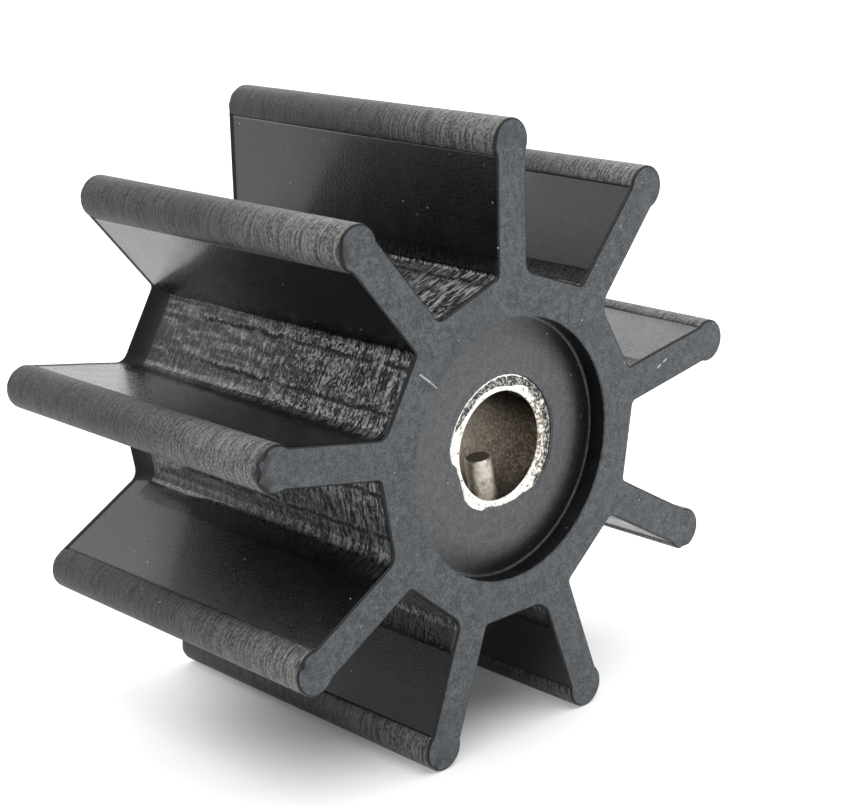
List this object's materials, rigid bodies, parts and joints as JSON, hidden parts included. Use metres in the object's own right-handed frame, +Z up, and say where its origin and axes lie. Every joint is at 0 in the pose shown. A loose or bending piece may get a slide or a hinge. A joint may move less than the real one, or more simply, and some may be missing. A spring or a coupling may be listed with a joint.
{
  "type": "rubber pump impeller",
  "caption": "Flexible rubber pump impeller: straight vanes with round tip beads on a faceted hub, moulded on a bored metal bush with a drive pin.",
  "frame": {"origin": "on the shaft axis at the hub's back face, where the pump shaft enters", "axes": "+Y along the axis, out of the back face, the way the shaft leaves; +Z up, with the impeller lying on two vane tips; the recessed front face looks along -Y"},
  "size_m": [0.074, 0.046, 0.0729],
  "materials": {
    "rubber": "matt moulded rubber, ground on the vane tips",
    "bush_metal": "turned, dulled",
    "pin_metal": "satin"
  },
  "bodies": {
    "root": {"rubber_body": "rubber", "hub_bush": "bush_metal", "drive_pin": "pin_metal"}
  },
  "joints": []
}
